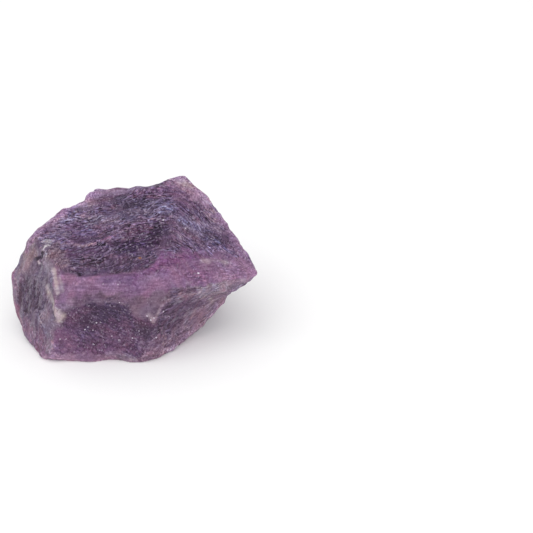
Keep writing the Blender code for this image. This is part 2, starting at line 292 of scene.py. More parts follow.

# Coloured marks along lines on the stone, the broad, soft ones first. Some of them are painted
# shade or painted light, as noted at each. Colour, strength, reach and line
STREAKS = {
    # Painted light: the rims at the rear are painted paler, partly their own colour and partly
    # against the shade at the outline
    "pale rear rim": ("#a08aa6", 0.8, 1.1, [
        (94, 197), (104, 193.5), (118, 192), (134, 191), (150, 189)]),
    "pale rim left of the rear lobe": ("#aa92aa", 0.75, 1.1, [(74, 210), (87, 206), (92, 204)]),
    "pale rear corner": ("#c8b4c4", 0.7, 0.9, [(181, 182), (187, 184)]),
    "dark hem of the rear corner": ("#785877", 0.5, 1.0, [(172, 186), (178, 187)]),
    # Painted light on the rim of the right edge, partly its own paler colour
    "pale rim of the right edge": ("#a0859e", 0.75, 1.2, [(208, 214), (214, 221), (217, 225)]),
    "pale top of the left end": ("#a8919f", 0.65, 1.1, [(18, 273), (28, 263)]),
    "pale brow of the left end": ("#987e93", 0.5, 1.0, [(20, 279), (23, 281)]),
    # Painted light on the rim under the tip, partly its own paler colour
    "pale rim under the tip": ("#ac99a9", 0.75, 0.9, [(230, 285), (244, 281)]),
    "dark slope right of the valley": ("#463852", 0.65, 1.2, [(166, 231), (167, 243)]),
    "foot of the dark slope": ("#46384f", 0.5, 1.1, [(169, 235), (171, 239)]),
    "dark slope left of the valley": ("#4d3351", 0.5, 1.1, [(140, 232), (147, 232)]),
    "dark gap beside the hump": ("#483b53", 0.5, 1.0, [(172, 223), (174, 225)]),
    "pale patch before the valley": ("#7d6781", 0.65, 1.0, [(142, 251), (141, 259)]),
    "pale corner beside the cream patch": ("#9f869d", 0.6, 1.0, [(64, 308), (71, 302)]),
    "pale end of the foot": ("#907a90", 0.7, 1.0, [(108, 353), (120, 352)]),
    "pale start of the foot": ("#a78ca8", 0.5, 1.0, [(61, 358), (67, 358)]),
    "dark patch of the foot": ("#725876", 0.6, 1.1, [(80, 357), (92, 357)]),
    "dark patch low on the right": ("#675067", 0.55, 1.3, [(146, 346), (157, 343)]),
    "pale foot on the right": ("#907a91", 0.65, 1.3, [(173, 334), (180, 329)]),
    "pale outer side": ("#a791a3", 0.6, 1.1, [(210, 302), (216, 298)]),
    # Painted shade under the ledge's edge on the right and on the steep face right of the tongue
    "dark gap above the side": ("#55445a", 0.65, 0.9, [(173, 299), (182, 297)]),
    "dark gap right of the tongue": ("#58475b", 0.5, 0.9, [(157, 312), (160, 314)]),
    # Painted shade where the brow of the ledge turns down to the front
    "shade of the brow": ("#634a66", 0.5, 1.1, [(78, 296), (86, 296), (93, 298), (100, 298)]),
    "dark of the front, low": ("#4c3551", 0.5, 1.2, [(83, 344), (92, 344)]),
    "purple before the left lobe": ("#503c58", 0.8, 1.3, [(76, 240), (86, 241.5), (92, 240)]),
    "dark end of the groove": ("#4e3b55", 0.5, 1.1, [(154, 249), (158, 250)]),
    "purple bundle of the left": ("#664c67", 0.5, 1.1, [(50, 230), (56, 228)]),
    "pale bundle before the left": ("#8f819c", 0.5, 1.1, [(62, 233), (67, 236)]),
    "purple behind the step": ("#583d5a", 0.8, 1.2, [(105, 237), (112, 245)]),
    "pale bundle behind the step": ("#92839c", 0.5, 1.0, [(111, 221), (116, 221)]),
    "dark bundle at the rear": ("#56425d", 0.7, 1.2, [(106, 206), (110, 214)]),
    "dark bundle nearer the step": ("#51425b", 0.75, 1.2, [(128, 217), (134, 222)]),
    "dark gap in the blue bundle": ("#4d3d52", 0.5, 1.0, [(152, 204), (160, 204)]),
    "dark gap on the right": ("#4f3e56", 0.55, 1.1, [(180, 215), (186, 217)]),
    "lilac bundle below the corner": ("#806f89", 0.5, 1.0, [(193, 211), (196, 214)]),
    "lilac bundle on the right": ("#8e7e9a", 0.5, 1.1, [(192, 230), (198, 234)]),
    # Painted shade in the shoulder of the left end
    "shade in the shoulder": ("#5d4861", 0.8, 1.1, [(37, 243), (41, 249)]),
    "dark foot of the left end": ("#614c62", 0.7, 1.4, [(32, 317), (39, 329)]),
    "dark gap in the left end": ("#5f5067", 0.5, 1.0, [(38, 284), (43, 289)]),
    "dark edge of the left end": ("#6b4a60", 0.5, 1.0, [(14, 290), (15, 293)]),
    "pale edge of the left end": ("#ab8f9d", 0.5, 1.0, [(22, 323), (25, 330)]),
    "rose below the magenta": ("#9e819d", 0.6, 1.1, [(142, 281), (154, 276)]),
    # Painted highlight on the left ridge
    "highlight of the ridge": ("#af9dad", 0.75, 0.8, [(46, 268), (49, 275)]),
    "grey end of the vein": ("#665c66", 0.6, 0.9, [(55, 292), (57, 297)]),
    "pale front corner": ("#988692", 0.5, 0.9, [(57, 322), (60, 326)]),
    "pale band of the shoulder": ("#92858e", 0.75, 1.2, [
        (47, 242), (45, 251), (46, 262), (51, 270)]),
    "cream vein, middle": ("#beafb4", 0.95, 0.7, [(54, 270), (55.5, 277), (57, 287), (58, 292)]),
    "cream vein, right": ("#ab9ba7", 0.8, 0.6, [(60, 277), (61.5, 285), (62.5, 291)]),
    "cream vein, left": ("#b8abb0", 0.9, 0.9, [(47, 287), (49.5, 294), (52.5, 301)]),
    "cream patch, top": ("#c4b7b4", 0.9, 1.0, [(54.5, 305), (56, 308), (58.5, 311.5)]),
    "cream patch, bottom": ("#c0b2b0", 0.9, 1.05, [(58.5, 315), (62, 315.5), (59.5, 319.5)]),
    "dark dent in the cream patch": ("#6a5d6a", 0.6, 0.35, [(52.5, 313), (55.5, 315)]),
    # Painted shade: the crack is painted nearly black, darker than its shallow groove makes it
    "crack": ("#100a14", 1.0, 0.5, [(35.5, 259), (39, 258), (42.3, 256.6), (43, 253)]),
    "white spot below the crack": ("#c8bcc4", 1.0, 0.4, [(38.4, 260.8), (39.4, 262.8)]),
    "pale line across the top": ("#a08696", 0.95, 0.36, [
        (60, 244), (72, 244), (83, 246.5), (92, 243.5), (108, 240.5), (125, 231.5), (132, 226.5)]),
    # Painted shade in the groove behind the ledge
    "shade behind the ledge": ("#473650", 0.55, 0.7, [
        (64, 270), (80, 272), (98, 270.5), (121, 268.5), (136, 268), (146, 264)]),
    "blue patch": ("#837ba0", 0.25, 1.3, [(157, 210), (165, 207.5), (173, 210)]),
    "blue line to the right": ("#837ba0", 0.3, 0.7, [
        (178, 220), (186, 222), (194, 228), (206, 236), (218, 243)]),
    "pale spot on the top": ("#a292a8", 0.85, 0.65, [(178.5, 237), (180, 238)]),
    # Painted shade: a pit painted nearly black
    "dark pit": ("#100a14", 1.0, 0.32, [(175.2, 223.8), (175.9, 224.4)]),
    "dark valley": ("#2c1f33", 0.4, 0.9, [(150, 243), (154, 236), (158, 229), (161, 223)]),
    # Painted shade in the hollow at the rear left, and painted light on its rim
    "dark hollow at the rear left": ("#2a2234", 0.9, 0.42, [(89, 221.5), (92, 219.5), (94, 221)]),
    "dark end of the hollow": ("#2a2234", 0.9, 0.35, [(95, 219.5), (98, 220.5)]),
    "pale rim of the hollow": ("#94889e", 0.7, 0.4, [(86, 219.5), (89, 217.5), (95, 217)]),
    "dark blotch at the rear": ("#463a50", 0.6, 0.8, [(127, 205), (138, 206)]),
    "rose of the left lobe": ("#85648a", 0.6, 1.0, [(60, 216), (66, 212), (72, 209)]),
    # Painted shade in the crevice beside the left lobe
    "crevice beside the left lobe": ("#4a3651", 0.6, 0.4, [(68, 216), (73, 213.5), (77, 211)]),
    "rose of the rear lobe": ("#8b6b8c", 0.6, 1.0, [(92, 196.5), (98, 193), (106, 193)]),
    # Painted shadow under the lower edge of the ledge
    "shadow line under the ledge": ("#7b6a7b", 0.5, 0.5, [
        (84, 303), (98, 300.5), (116, 301), (130, 305), (142, 312)]),
    "pale tip of the tongue": ("#a5959d", 0.6, 0.75, [(149, 315), (153, 321)]),
    "pale edge of the tongue": ("#9e8d98", 0.75, 0.4, [
        (154.5, 319), (157.5, 315), (160, 308.5), (165, 302.5), (172, 299)]),
    "groove light 1": ("#998796", 0.55, 0.35, [
        (167, 300), (186, 296), (204, 291), (222, 286), (240, 283)]),
    "groove light 2": ("#9a8a97", 0.5, 0.35, [(198, 291), (216, 284), (232, 281), (245, 280)]),
    "groove light 3": ("#958492", 0.5, 0.3, [(186, 303), (204, 298), (220, 291)]),
    "groove dark": ("#6c5870", 0.5, 0.4, [(188, 309), (204, 304), (218, 297), (230, 290)]),
    "pale patch of the grooved side": ("#a39399", 0.6, 0.7, [(210, 298), (213, 303)]),
    "pale line by the tip": ("#a48e9d", 0.5, 0.5, [(202, 261), (214, 260), (230, 263)]),
    "pale spots by the tip": ("#b0a2b2", 0.5, 0.8, [(203, 260), (208, 261.5)]),
    "pale spot nearer the tip": ("#b2a5ac", 0.5, 0.65, [(223, 261.5), (226, 262.5)]),
    "pale line above the glint": ("#a58ca0", 0.5, 0.4, [(187, 283), (191, 282)]),
    "tan of the rose corner": ("#a8938f", 0.6, 0.8, [(184, 184), (192, 187)]),
    "tan of the right edge": ("#a08a92", 0.6, 0.6, [(213, 211), (219, 217), (224, 223)]),
    "left outline's rose": ("#8a6c8c", 0.6, 0.7, [(14, 275), (14, 284), (15, 292)]),
    "orange speck": ("#b8803e", 1.0, 0.3, [(139.8, 257.4), (140.4, 258)]),
}

# How strongly mica bends light
MICA_IOR = 1.55

# Mica grains are six-sided plates, strewn by chance from a fixed seed. Some show one by one
# where the stone glints, and their pale colour is partly a painted glint: their colour, places
# and widths.
PLATE_SIDES = 6
GRAIN_SEED = 7
BRIGHT_MICA = "#cdc2d2"
BRIGHT_GRAINS = {
    (163.3, 220): 0.4, (185.4, 228.3): 0.35, (198.3, 273.2): 0.5, (103, 284): 0.22,
    (118, 284.5): 0.2, (96.5, 322.7): 0.35, (100.5, 322.2): 0.35, (85, 329.6): 0.35,
    (88, 327): 0.25, (93, 330): 0.25, (132.4, 338): 0.35, (156.2, 337.5): 0.35, (119, 340): 0.3,
    (163.4, 311.5): 0.35, (169, 316.5): 0.25, (60, 339): 0.25, (66, 339): 0.25,
    (119.5, 302.5): 0.25, (147, 316): 0.3, (151, 320): 0.35, (154, 318): 0.3, (112, 336): 0.25,
    (139, 331): 0.25, (162, 333): 0.25, (94, 344.5): 0.25,
}


def linear(colour):
    """An sRGB colour, as hex text, as linear red, green, blue and alpha."""
    shares = [int(colour[at : at + 2], 16) / 255 for at in (1, 3, 5)]
    bent = [c / 12.92 if c <= 0.04045 else ((c + 0.055) / 1.055) ** 2.4 for c in shares]
    return (*bent, 1.0)


class StoneSettings(bpy.types.PropertyGroup):
    """Sizes and colours of the stone."""

    surface_step: FloatProperty(
        name="Surface Step",
        description="Distance between neighbouring points of the stone's surface",
        default=0.215 * MM,
        unit="LENGTH",
    )
    layer_height: FloatProperty(
        name="Layer Height",
        description="Height of the ridges where a layer of mica ends",
        default=0.25 * MM,
        unit="LENGTH",
    )
    layer_spacing: FloatProperty(
        name="Layer Spacing",
        description="Distance between the ridges where a layer of mica ends",
        default=2.0 * MM,
        unit="LENGTH",
    )
    rib_height: FloatProperty(
        name="Rib Height",
        description="Height of the broken edges of the mica sheets",
        default=0.1 * MM,
        unit="LENGTH",
    )
    rib_spacing: FloatProperty(
        name="Rib Spacing",
        description="Distance between the broken edges of the mica sheets",
        default=0.75 * MM,
        unit="LENGTH",
    )
    deep_violet: FloatVectorProperty(
        name="Deep Violet",
        description="Colour of the sheets seen edge on, between their bright threads",
        subtype="COLOR",
        size=4,
        default=linear("#33213b"),
    )
    thread_blue: FloatVectorProperty(
        name="Thread Blue",
        description="Colour of the bluish threads where a sheet's edge stands free",
        subtype="COLOR",
        size=4,
        default=linear("#8a7999"),
    )
    pale_wisp: FloatVectorProperty(
        name="Pale Wisp",
        description="Colour of the weathered wisps along the sheets",
        subtype="COLOR",
        size=4,
        default=linear("#8b8290"),
    )
    pale_grain: FloatVectorProperty(
        name="Pale Grain",
        description="Colour of the palest grains",
        subtype="COLOR",
        size=4,
        default=linear("#9e8fa3"),
    )
    hidden_dark: FloatVectorProperty(
        name="Hidden Sides, Dark",
        description="Darker colour of the sides that the picture doesn't show",
        subtype="COLOR",
        size=4,
        default=linear("#634f6b"),
    )
    hidden_pale: FloatVectorProperty(
        name="Hidden Sides, Pale",
        description="Paler colour of the sides that the picture doesn't show",
        subtype="COLOR",
        size=4,
        default=linear("#8c708c"),
    )


class GrainSettings(bpy.types.PropertyGroup):
    """Number and size of the loose mica grains."""

    count: IntProperty(
        name="Grains",
        description="Number of mica grains that stand out of the broken faces",
        default=800,
    )
    width: FloatProperty(
        name="Grain Width",
        description="Mean width of a mica grain",
        default=0.17 * MM,
        unit="LENGTH",
    )


class StageSettings(bpy.types.PropertyGroup):
    """Floor and light."""

    floor_colour: FloatVectorProperty(
        name="Floor",
        description="Colour of the floor",
        subtype="COLOR",
        size=4,
        default=linear("#f7f7f7"),
    )
    sky_strength: FloatProperty(
        name="Surrounding Light",
        description="Strength of the even light from all sides",
        default=0.95,
    )


def add_node(tree, kind, inputs=(), **settings):
    """Adds a node. inputs maps its sockets, by name or number, to values or to other sockets."""
    node = tree.nodes.new(kind)
    for name, value in settings.items():
        setattr(node, name, value)
    for key, value in dict(inputs).items():
        if isinstance(value, bpy.types.NodeSocket):
            tree.links.new(value, node.inputs[key])
        else:
            node.inputs[key].default_value = value
    return node


def new_material(name):
    """A material with an empty node tree."""
    material = bpy.data.materials.new(name)
    material.use_nodes = True
    material.node_tree.nodes.clear()
    return material


def new_object(name, data):
    """Adds an object to the scene."""
    made = bpy.data.objects.new(name, data)
    bpy.context.scene.collection.objects.link(made)
    return made


def numbers_of(mesh, what):
    """The places or the facings of all points of a mesh, one row each."""
    flat = np.empty(len(mesh.vertices) * 3)
    mesh.vertices.foreach_get(what, flat)
    return flat.reshape(-1, 3)


def noises(places, scale, shift=(0, 0, 0), octaves=1):
    """A noise at each place, from -1 to 1. The places are multiplied by scale, then shifted."""
    scaled = (places * np.array(scale) + np.array(shift)).tolist()
    if octaves == 1:
        return np.array([noise.noise(place) for place in scaled])
    return np.array([noise.fractal(place, 1.0, 2.0, octaves) for place in scaled])


def eased(share):
    """A share that is kept between 0 and 1, with a soft start and a soft end."""
    share = np.clip(share, 0, 1)
    return share * share * (3 - 2 * share)


def picture_place(points):
    """The pixels that points on the stone fall on."""
    offset = points - np.array(EYE)
    depth = offset @ np.array(SIGHT)
    across = offset @ np.array(SIDEWAYS) / depth / PIXEL
    up = offset @ np.array(UPWARDS) / depth / PIXEL
    return np.stack([PICTURE_SIDE / 2 + across, PICTURE_SIDE / 2 - up], axis=1)


def place_on_stone(tree, pixel):
    """The point of the stone and its facing at a pixel of the picture."""
    right = (pixel[0] - PICTURE_SIDE / 2) * PIXEL
    up = (PICTURE_SIDE / 2 - pixel[1]) * PIXEL
    ray = SIGHT + SIDEWAYS * right + UPWARDS * up
    place, facing, _, _ = tree.ray_cast(EYE, ray.normalized())
    return place, facing


def line_on_stone(tree, pixels):
    """The points of the stone under a line, close together. Those off the stone are left out."""
    apart = 2
    traced = [pixels[0]]
    for start, end in zip(pixels[:-1], pixels[1:]):
        steps = math.ceil(math.dist(start, end) / apart)
        for step in range(1, steps + 1):
            share = step / steps
            traced.append([a + (b - a) * share for a, b in zip(start, end)])
    places = [place_on_stone(tree, pixel)[0] for pixel in traced]
    places = [place for place in places if place is not None]
    if len(places) < 2:
        raise RuntimeError(f"the line from {pixels[0]} misses the stone")
    return places


def distance_to_line(points, line):
    """The distance of each point from a line through the given places."""
    nearest = np.full(len(points), np.inf)
    for start, end in zip(line[:-1], line[1:]):
        start, along = np.array(start), np.array(end) - np.array(start)
        share = ((points - start) @ along) / max(along @ along, 1e-12)
        foot = start + np.clip(share, 0, 1)[:, None] * along
        nearest = np.minimum(nearest, np.linalg.norm(points - foot, axis=1))
    return nearest


def nearness(points, line, reach):
    """1 on a line through the given places, falling to 0 at a reach from it, for each point."""
    line = np.array(line)
    share = np.zeros(len(points))
    low, high = line.min(axis=0) - reach, line.max(axis=0) + reach
    near = np.all((points > low) & (points < high), axis=1)
    share[near] = 1 - np.clip(distance_to_line(points[near], line) / reach, 0, 1) ** 2
    return share


def inside_outline(places, outline, softness):
    """1 inside an outline, 0 outside it, and between them across its soft border."""
    inside = np.zeros(len(places), bool)
    closed = outline + outline[:1]
    x, y = places[:, 0], places[:, 1]
    for (x0, y0), (x1, y1) in zip(closed[:-1], closed[1:]):
        if y0 != y1:
            crosses = (y0 > y) != (y1 > y)
            inside ^= crosses & (x < x0 + (y - y0) * (x1 - x0) / (y1 - y0))
    signed = np.where(inside, 1.0, -1.0) * distance_to_line(places, closed)
    return eased(0.5 + signed / softness)


def even_surface(solid, step):
    """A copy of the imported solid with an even, fine grid of faces, a little worn."""
    bm = bmesh.new()
    bm.from_mesh(solid.data)
    bmesh.ops.remove_doubles(bm, verts=bm.verts, dist=0.005 * MM)
    mesh = bpy.data.meshes.new("lepidolite_stone")
    bm.to_mesh(mesh)
    bm.free()
    stone = new_object("lepidolite_stone", mesh)
    grid = stone.modifiers.new("even grid", "REMESH")
    grid.mode = "VOXEL"
    grid.voxel_size = step
    worn = stone.modifiers.new("worn edges", "SMOOTH")
    worn.factor = 0.5
    worn.iterations = 3
    graph = bpy.context.evaluated_depsgraph_get()
    made = bpy.data.meshes.new_from_object(stone.evaluated_get(graph))
    stone.modifiers.clear()
    stone.data = made
    return stone


def stone_tree(stone):
    """A search tree of the stone's surface."""
    bm = bmesh.new()
    bm.from_mesh(stone.data)
    tree = BVHTree.FromBMesh(bm)
    bm.free()
    return tree


def raise_lines(stone, tree):
    """Raises the ridges and sinks the grooves that run along lines on the stone.

    They swell and fade along their way, about every 3 mm.
    """
    points = numbers_of(stone.data, "co")
    facings = numbers_of(stone.data, "normal")
    height = np.zeros(len(points))
    for rise, reach, pixels in RELIEF.values():
        line = line_on_stone(tree, pixels)
        height += rise * MM * nearness(points, line, reach * MM) ** 2
    height *= 1.0 + 1.1 * noises(points, 1 / (1.8 * MM))
    stone.data.vertices.foreach_set("co", (points + facings * height[:, None]).ravel())
    stone.data.update()


def fold_height(x):
    """How far the sheets are pushed back, in mm, at a place along the stone.

    They rise slowly towards the fold's crest and fall off steeply beyond it.
    """
    height = LEFT_SLOPE * x
    for slope, start, bend in FOLD_SLOPES:
        height = height + slope * bend * np.logaddexp(0, (x - start) / bend)
    return height


def waviness(points):
    """How far the sheets swing to and fro at each point, in mm."""
    total = np.zeros(len(points))
    for size, swing in ((4.0, 0.6), (1.6, 0.15), (0.8, 0.06)):
        total += swing * noises(points, 1 / (size * MM), NOISE_PLACE)
    return total


def folded_places(points, waves):
    """Where points lie in the folded sheets, in mm: along them, across them and up them."""
    across = np.array(ACROSS_SHEETS)
    along = np.array((1.0, 0.0, 0.0))
    up = np.cross(across, along)
    places = points / MM
    depth = places @ across + fold_height(places[:, 0]) + waves
    return np.stack([places @ along, depth, places @ up], axis=1)


def spread_places(points, waves):
    """Where points lie in the sheets below the ledge, in mm.

    Near the tip they spread like a fan. On the front they sink a little to the right, from where
    the fan ends.
    """
    offset = (np.array(FAN_TIP) - points) / MM
    along, down = offset @ np.array(SIDEWAYS), offset @ np.array(UPWARDS)
    fan = FAN_OPENING * np.arctan2(down, np.maximum(along, 1.0))
    sinking = 0.63 * down + 0.18 * (along - FAN_REACH - FAN_BORDER / 2) + 0.9
    depth = fan + (sinking - fan) * np.clip((along - FAN_REACH) / FAN_BORDER, 0, 1)
    return np.stack([along, depth + 0.5 * waves, offset @ np.array(SIGHT)], axis=1)


def silk_places(points, waves):
    """Where points lie in the silky streaks of the waxy faces, which turn up at the tip, in mm."""
    slope, start, bend = 0.3, 6.0, 3.0
    along, up = points @ np.array(SIDEWAYS) / MM, points @ np.array(UPWARDS) / MM
    up -= slope * bend * np.logaddexp(0, (along - start) / bend)
    return np.stack([along, up + 0.5 * waves, points @ np.array(SIGHT) / MM], axis=1)


def roughen(stone, settings, folded, waxy):
    """Gives the broken faces the layers and the ribs of the mica sheets, and a fine grain.

    Layers and ribs are drawn out along the sheets. Waxy faces are smoother.
    """
    points = numbers_of(stone.data, "co")
    facings = numbers_of(stone.data, "normal")
    drawn = np.array((0.3, 1.0, 0.3)) * MM
    layers = noises(folded, drawn / settings.layer_spacing)
    ribs = noises(folded, drawn / settings.rib_spacing)
    grain = noises(folded, (2.4, 2.0, 2.4))
    height = settings.layer_height * (0.5 - 2.0 * np.abs(layers))
    height += settings.rib_height * (ribs + 0.4 * grain)
    height *= 1.0 - 0.7 * waxy
    moved = points + facings * height[:, None]
    moved[:, 2] = np.maximum(moved[:, 2], 0.0)
    stone.data.vertices.foreach_set("co", moved.ravel())
    stone.data.update()


def flatten_base(stone):
    """Makes the underside one flat face: it needs no fine grid."""
    bm = bmesh.new()
    bm.from_mesh(stone.data)
    nearly_flat = 0.12 * MM
    low = [vert for vert in bm.verts if vert.co.z < nearly_flat and vert.normal.z < -0.8]
    for vert in low:
        vert.co.z = 0.0
    inner = set(low)
    edges = [edge for edge in bm.edges if edge.verts[0] in inner and edge.verts[1] in inner]
    bmesh.ops.dissolve_limit(bm, angle_limit=0.001, verts=low, edges=edges)
    wide = [face for face in bm.faces if len(face.verts) > 4]
    bmesh.ops.triangulate(bm, faces=wide)
    bm.to_mesh(stone.data)
    bm.free()


def seen_share(stone):
    """1 where a point faces the picture's viewer, falling to 0 a little past the outline."""
    points = numbers_of(stone.data, "co")
    facings = numbers_of(stone.data, "normal")
    towards = np.array(EYE) - points
    towards /= np.linalg.norm(towards, axis=1)[:, None]
    return eased((np.sum(facings * towards, axis=1) + 0.25) / 0.3)


def bumpiness(stone, passes):
    """How far each point stands out of its surroundings, in mm: ridges above 0, hollows below.

    The surroundings are the surface after so many passes of smoothing.
    """
    points = numbers_of(stone.data, "co")
    facings = numbers_of(stone.data, "normal")
    edges = np.empty(len(stone.data.edges) * 2, int)
    stone.data.edges.foreach_get("vertices", edges)
    one, other = edges[0::2], edges[1::2]
    many = len(points)
    count = np.bincount(edges, minlength=many)
    smooth = points.copy()
    for _ in range(passes):
        for axis in range(3):
            value = smooth[:, axis]
            total = np.bincount(one, value[other], many) + np.bincount(other, value[one], many)
            smooth[:, axis] = 0.4 * value + 0.6 * total / count
    return np.sum((points - smooth) * facings, axis=1) / MM


def zone_values(stone, settings):
    """Colour and finish of each point, from the zones. Their borders wander.

    The sides that the picture doesn't show have dark patches and pale, smoother ones, up to 7 mm
    wide.
    """
    points = numbers_of(stone.data, "co")
    patches = noises(points / MM, (1 / 7, 1 / 5, 1 / 3), octaves=3)
    pale = np.clip(0.5 + 1.6 * patches, 0, 1)[:, None]
    hidden_dark = np.array((*settings.hidden_dark[:3], *FINISHES["hidden, dark"]))
    hidden_pale = np.array((*settings.hidden_pale[:3], *FINISHES["hidden, pale"]))
    values = hidden_dark + (hidden_pale - hidden_dark) * pale
    seen = seen_share(stone)
    places = picture_place(points)
    wander = np.stack([noises(points, 1 / (1.6 * MM), NOISE_PLACE, 2),
                       noises(points, 1 / (1.3 * MM), -NOISE_PLACE, 2)], axis=1)
    for colour, softness, finish, outline in ZONES.values():
        moved = places + wander * softness * 0.9
        share = (inside_outline(moved, outline, softness) * seen)[:, None]
        target = np.array((*linear(colour)[:3], *FINISHES[finish]))
        values = values * (1 - share) + target * share
    return values


def lay_streaks(stone, tree, values):
    """Lays the coloured marks over the zones. The strong ones hide the threads and grains."""
    points = numbers_of(stone.data, "co")
    for colour, strength, reach, pixels in STREAKS.values():
        line = line_on_stone(tree, pixels)
        share = (strength * nearness(points, line, reach * MM) ** 1.5)[:, None]
        values[:, :3] += (np.array(linear(colour)[:3]) - values[:, :3]) * share
        values[:, THREADS:WAXY] *= 1 - 0.8 * share**2


def store(mesh, name, values):
    """Stores a value or a colour for each point of a mesh."""
    if values.ndim == 1:
        mesh.attributes.new(name, "FLOAT", "POINT").data.foreach_set("value", values)
        return
    colours = np.concatenate([values, np.ones((len(values), 1))], axis=1)
    mesh.attributes.new(name, "FLOAT_COLOR", "POINT").data.foreach_set("color", colours.ravel())


def shaded(tree, colour, shade):
    """A colour made darker or lighter. Dark mica is a purer violet, and pale mica is greyer:
    green falls and rises faster than red and blue."""
    green = add_node(tree, "ShaderNodeMath", {0: shade, 1: 1.25}, operation="POWER").outputs[0]
    shades = add_node(tree, "ShaderNodeCombineXYZ", {0: shade, 1: green, 2: shade}).outputs[0]
    return add_node(tree, "ShaderNodeVectorMath", {0: colour, 1: shades},
                    operation="MULTIPLY").outputs[0]


def sheet_colours(tree, settings, sheets, tint, threads, wisps):
    """The colour of mica sheets that are seen edge on.

    sheets is a place in the sheets: a unit is a millimetre, and Y runs across them. Also gives
    the noise that the bundles of sheets come from.
    """
    # Single flakes seen edge on, about 0.6 mm by 0.2 mm, each of its own shade
    flake_place = add_node(tree, "ShaderNodeVectorMath", {0: sheets, 1: (1.65, 4.7, 2.2)},
                           operation="MULTIPLY").outputs[0]
    flakes = add_node(tree, "ShaderNodeTexVoronoi", {"Vector": flake_place, "Scale": 1.0})
    flake = add_node(tree, "ShaderNodeSeparateColor", {0: flakes.outputs["Color"]})
    shade = add_node(tree, "ShaderNodeMapRange", {
        "Value": flake.outputs[0], "To Min": 0.05, "To Max": 1.95}).outputs[0]
    # Drawn-out noises make them darker and lighter: how many units go to a millimetre, how
    # detailed and how rough they are, which values count, and how much they change the shade
    for drawn, detail, roughness, span, change in (
            ((0.13, 0.62, 0.13), 2.0, 0.5, 0.16, 0.15),  # layers, about 3 mm apart
            ((1.0, 4.8, 1.4), 0.0, 0.5, 0.15, 0.4),  # wavy dashes, about 1.7 mm by 0.35 mm
            ((0.33, 3.4, 0.4), 1.0, 0.6, 0.15, 0.25)):  # bundles, about 5 mm by 0.5 mm
        place = add_node(tree, "ShaderNodeVectorMath", {0: sheets, 1: drawn},
                         operation="MULTIPLY").outputs[0]
        pattern = add_node(tree, "ShaderNodeTexNoise", {
            "Vector": place, "Scale": 1.0, "Detail": detail, "Roughness": roughness,
            }).outputs["Fac"]
        changed = add_node(tree, "ShaderNodeMapRange", {
            "Value": pattern, "From Min": 0.5 - span, "From Max": 0.5 + span,
            "To Min": 1 - change, "To Max": 1 + change}).outputs[0]
        shade = add_node(tree, "ShaderNodeMath", {0: shade, 1: changed},
                         operation="MULTIPLY").outputs[0]
    bundles = pattern
    # Some flakes are a little rosier, others bluer
    rosy = add_node(tree, "ShaderNodeMapRange", {
        "Value": flake.outputs[1], "To Min": 0.87, "To Max": 1.13}).outputs[0]
    blue = add_node(tree, "ShaderNodeMath", {0: 2.0, 1: rosy}, operation="SUBTRACT").outputs[0]
    hues = add_node(tree, "ShaderNodeCombineXYZ", {0: rosy, 1: 1.0, 2: blue}).outputs[0]
    flaked = add_node(tree, "ShaderNodeVectorMath", {0: shaded(tree, tint, shade), 1: hues},
                      operation="MULTIPLY").outputs[0]
    threaded = add_node(tree, "ShaderNodeMix", {0: threads, 6: tint, 7: flaked},
                        data_type="RGBA").outputs[2]
    # Long hair lines, about 0.1 mm wide, along the middle values of a drawn-out noise: dark ones
    # where a sheet is split off, bluish ones where its edge stands free. The sets cross a little.
    for colour, lean, offset, drawn, width, most in (
            (settings.deep_violet, 0.0, 17.0, (0.3, 3.2, 0.45), 0.04, 0.55),
            (settings.thread_blue, 0.1, 0.0, (0.25, 2.8, 0.4), 0.04, 0.6),
            (settings.thread_blue, -0.14, 31.0, (0.3, 3.4, 0.45), 0.035, 0.6)):
        hair_place = add_node(tree, "ShaderNodeMapping", {
            "Vector": sheets, "Location": (offset, offset, offset),
            "Rotation": (0.0, 0.0, lean)}).outputs[0]
        hair_place = add_node(tree, "ShaderNodeVectorMath", {0: hair_place, 1: drawn},
                              operation="MULTIPLY").outputs[0]
        hair = add_node(tree, "ShaderNodeTexNoise", {
            "Vector": hair_place, "Scale": 1.0, "Detail": 0.0}).outputs["Fac"]
        hair = add_node(tree, "ShaderNodeMath", {0: hair, 1: 0.5}, operation="SUBTRACT").outputs[0]
        hair = add_node(tree, "ShaderNodeMath", {0: hair}, operation="ABSOLUTE").outputs[0]
        hair = add_node(tree, "ShaderNodeMapRange", {
            "Value": hair, "From Min": 0.0, "From Max": width, "To Min": most, "To Max": 0.0},
            interpolation_type="SMOOTHSTEP").outputs[0]
        hair = add_node(tree, "ShaderNodeMath", {0: hair, 1: threads},
                        operation="MULTIPLY").outputs[0]
        threaded = add_node(tree, "ShaderNodeMix", {
            0: hair, 6: threaded, 7: colour}, data_type="RGBA").outputs[2]
    # Pale, weathered wisps along the sheets, about 5 mm by 1.5 mm
    wisp_place = add_node(tree, "ShaderNodeVectorMath", {0: sheets, 1: (0.35, 1.1, 0.22)},
                          operation="MULTIPLY").outputs[0]
    wisp = add_node(tree, "ShaderNodeTexNoise", {
        "Vector": wisp_place, "Scale": 1.0, "Detail": 2.0, "Roughness": 0.6}).outputs["Fac"]
    wisp = add_node(tree, "ShaderNodeMapRange", {
        "Value": wisp, "From Min": 0.5, "From Max": 0.7, "To Min": 0.0, "To Max": 0.6},
        interpolation_type="SMOOTHSTEP").outputs[0]
    wisp = add_node(tree, "ShaderNodeMath", {0: wisp, 1: wisps}, operation="MULTIPLY").outputs[0]
    threaded = add_node(tree, "ShaderNodeMix", {
        0: wisp, 6: threaded, 7: settings.pale_wisp}, data_type="RGBA").outputs[2]
    return threaded, bundles


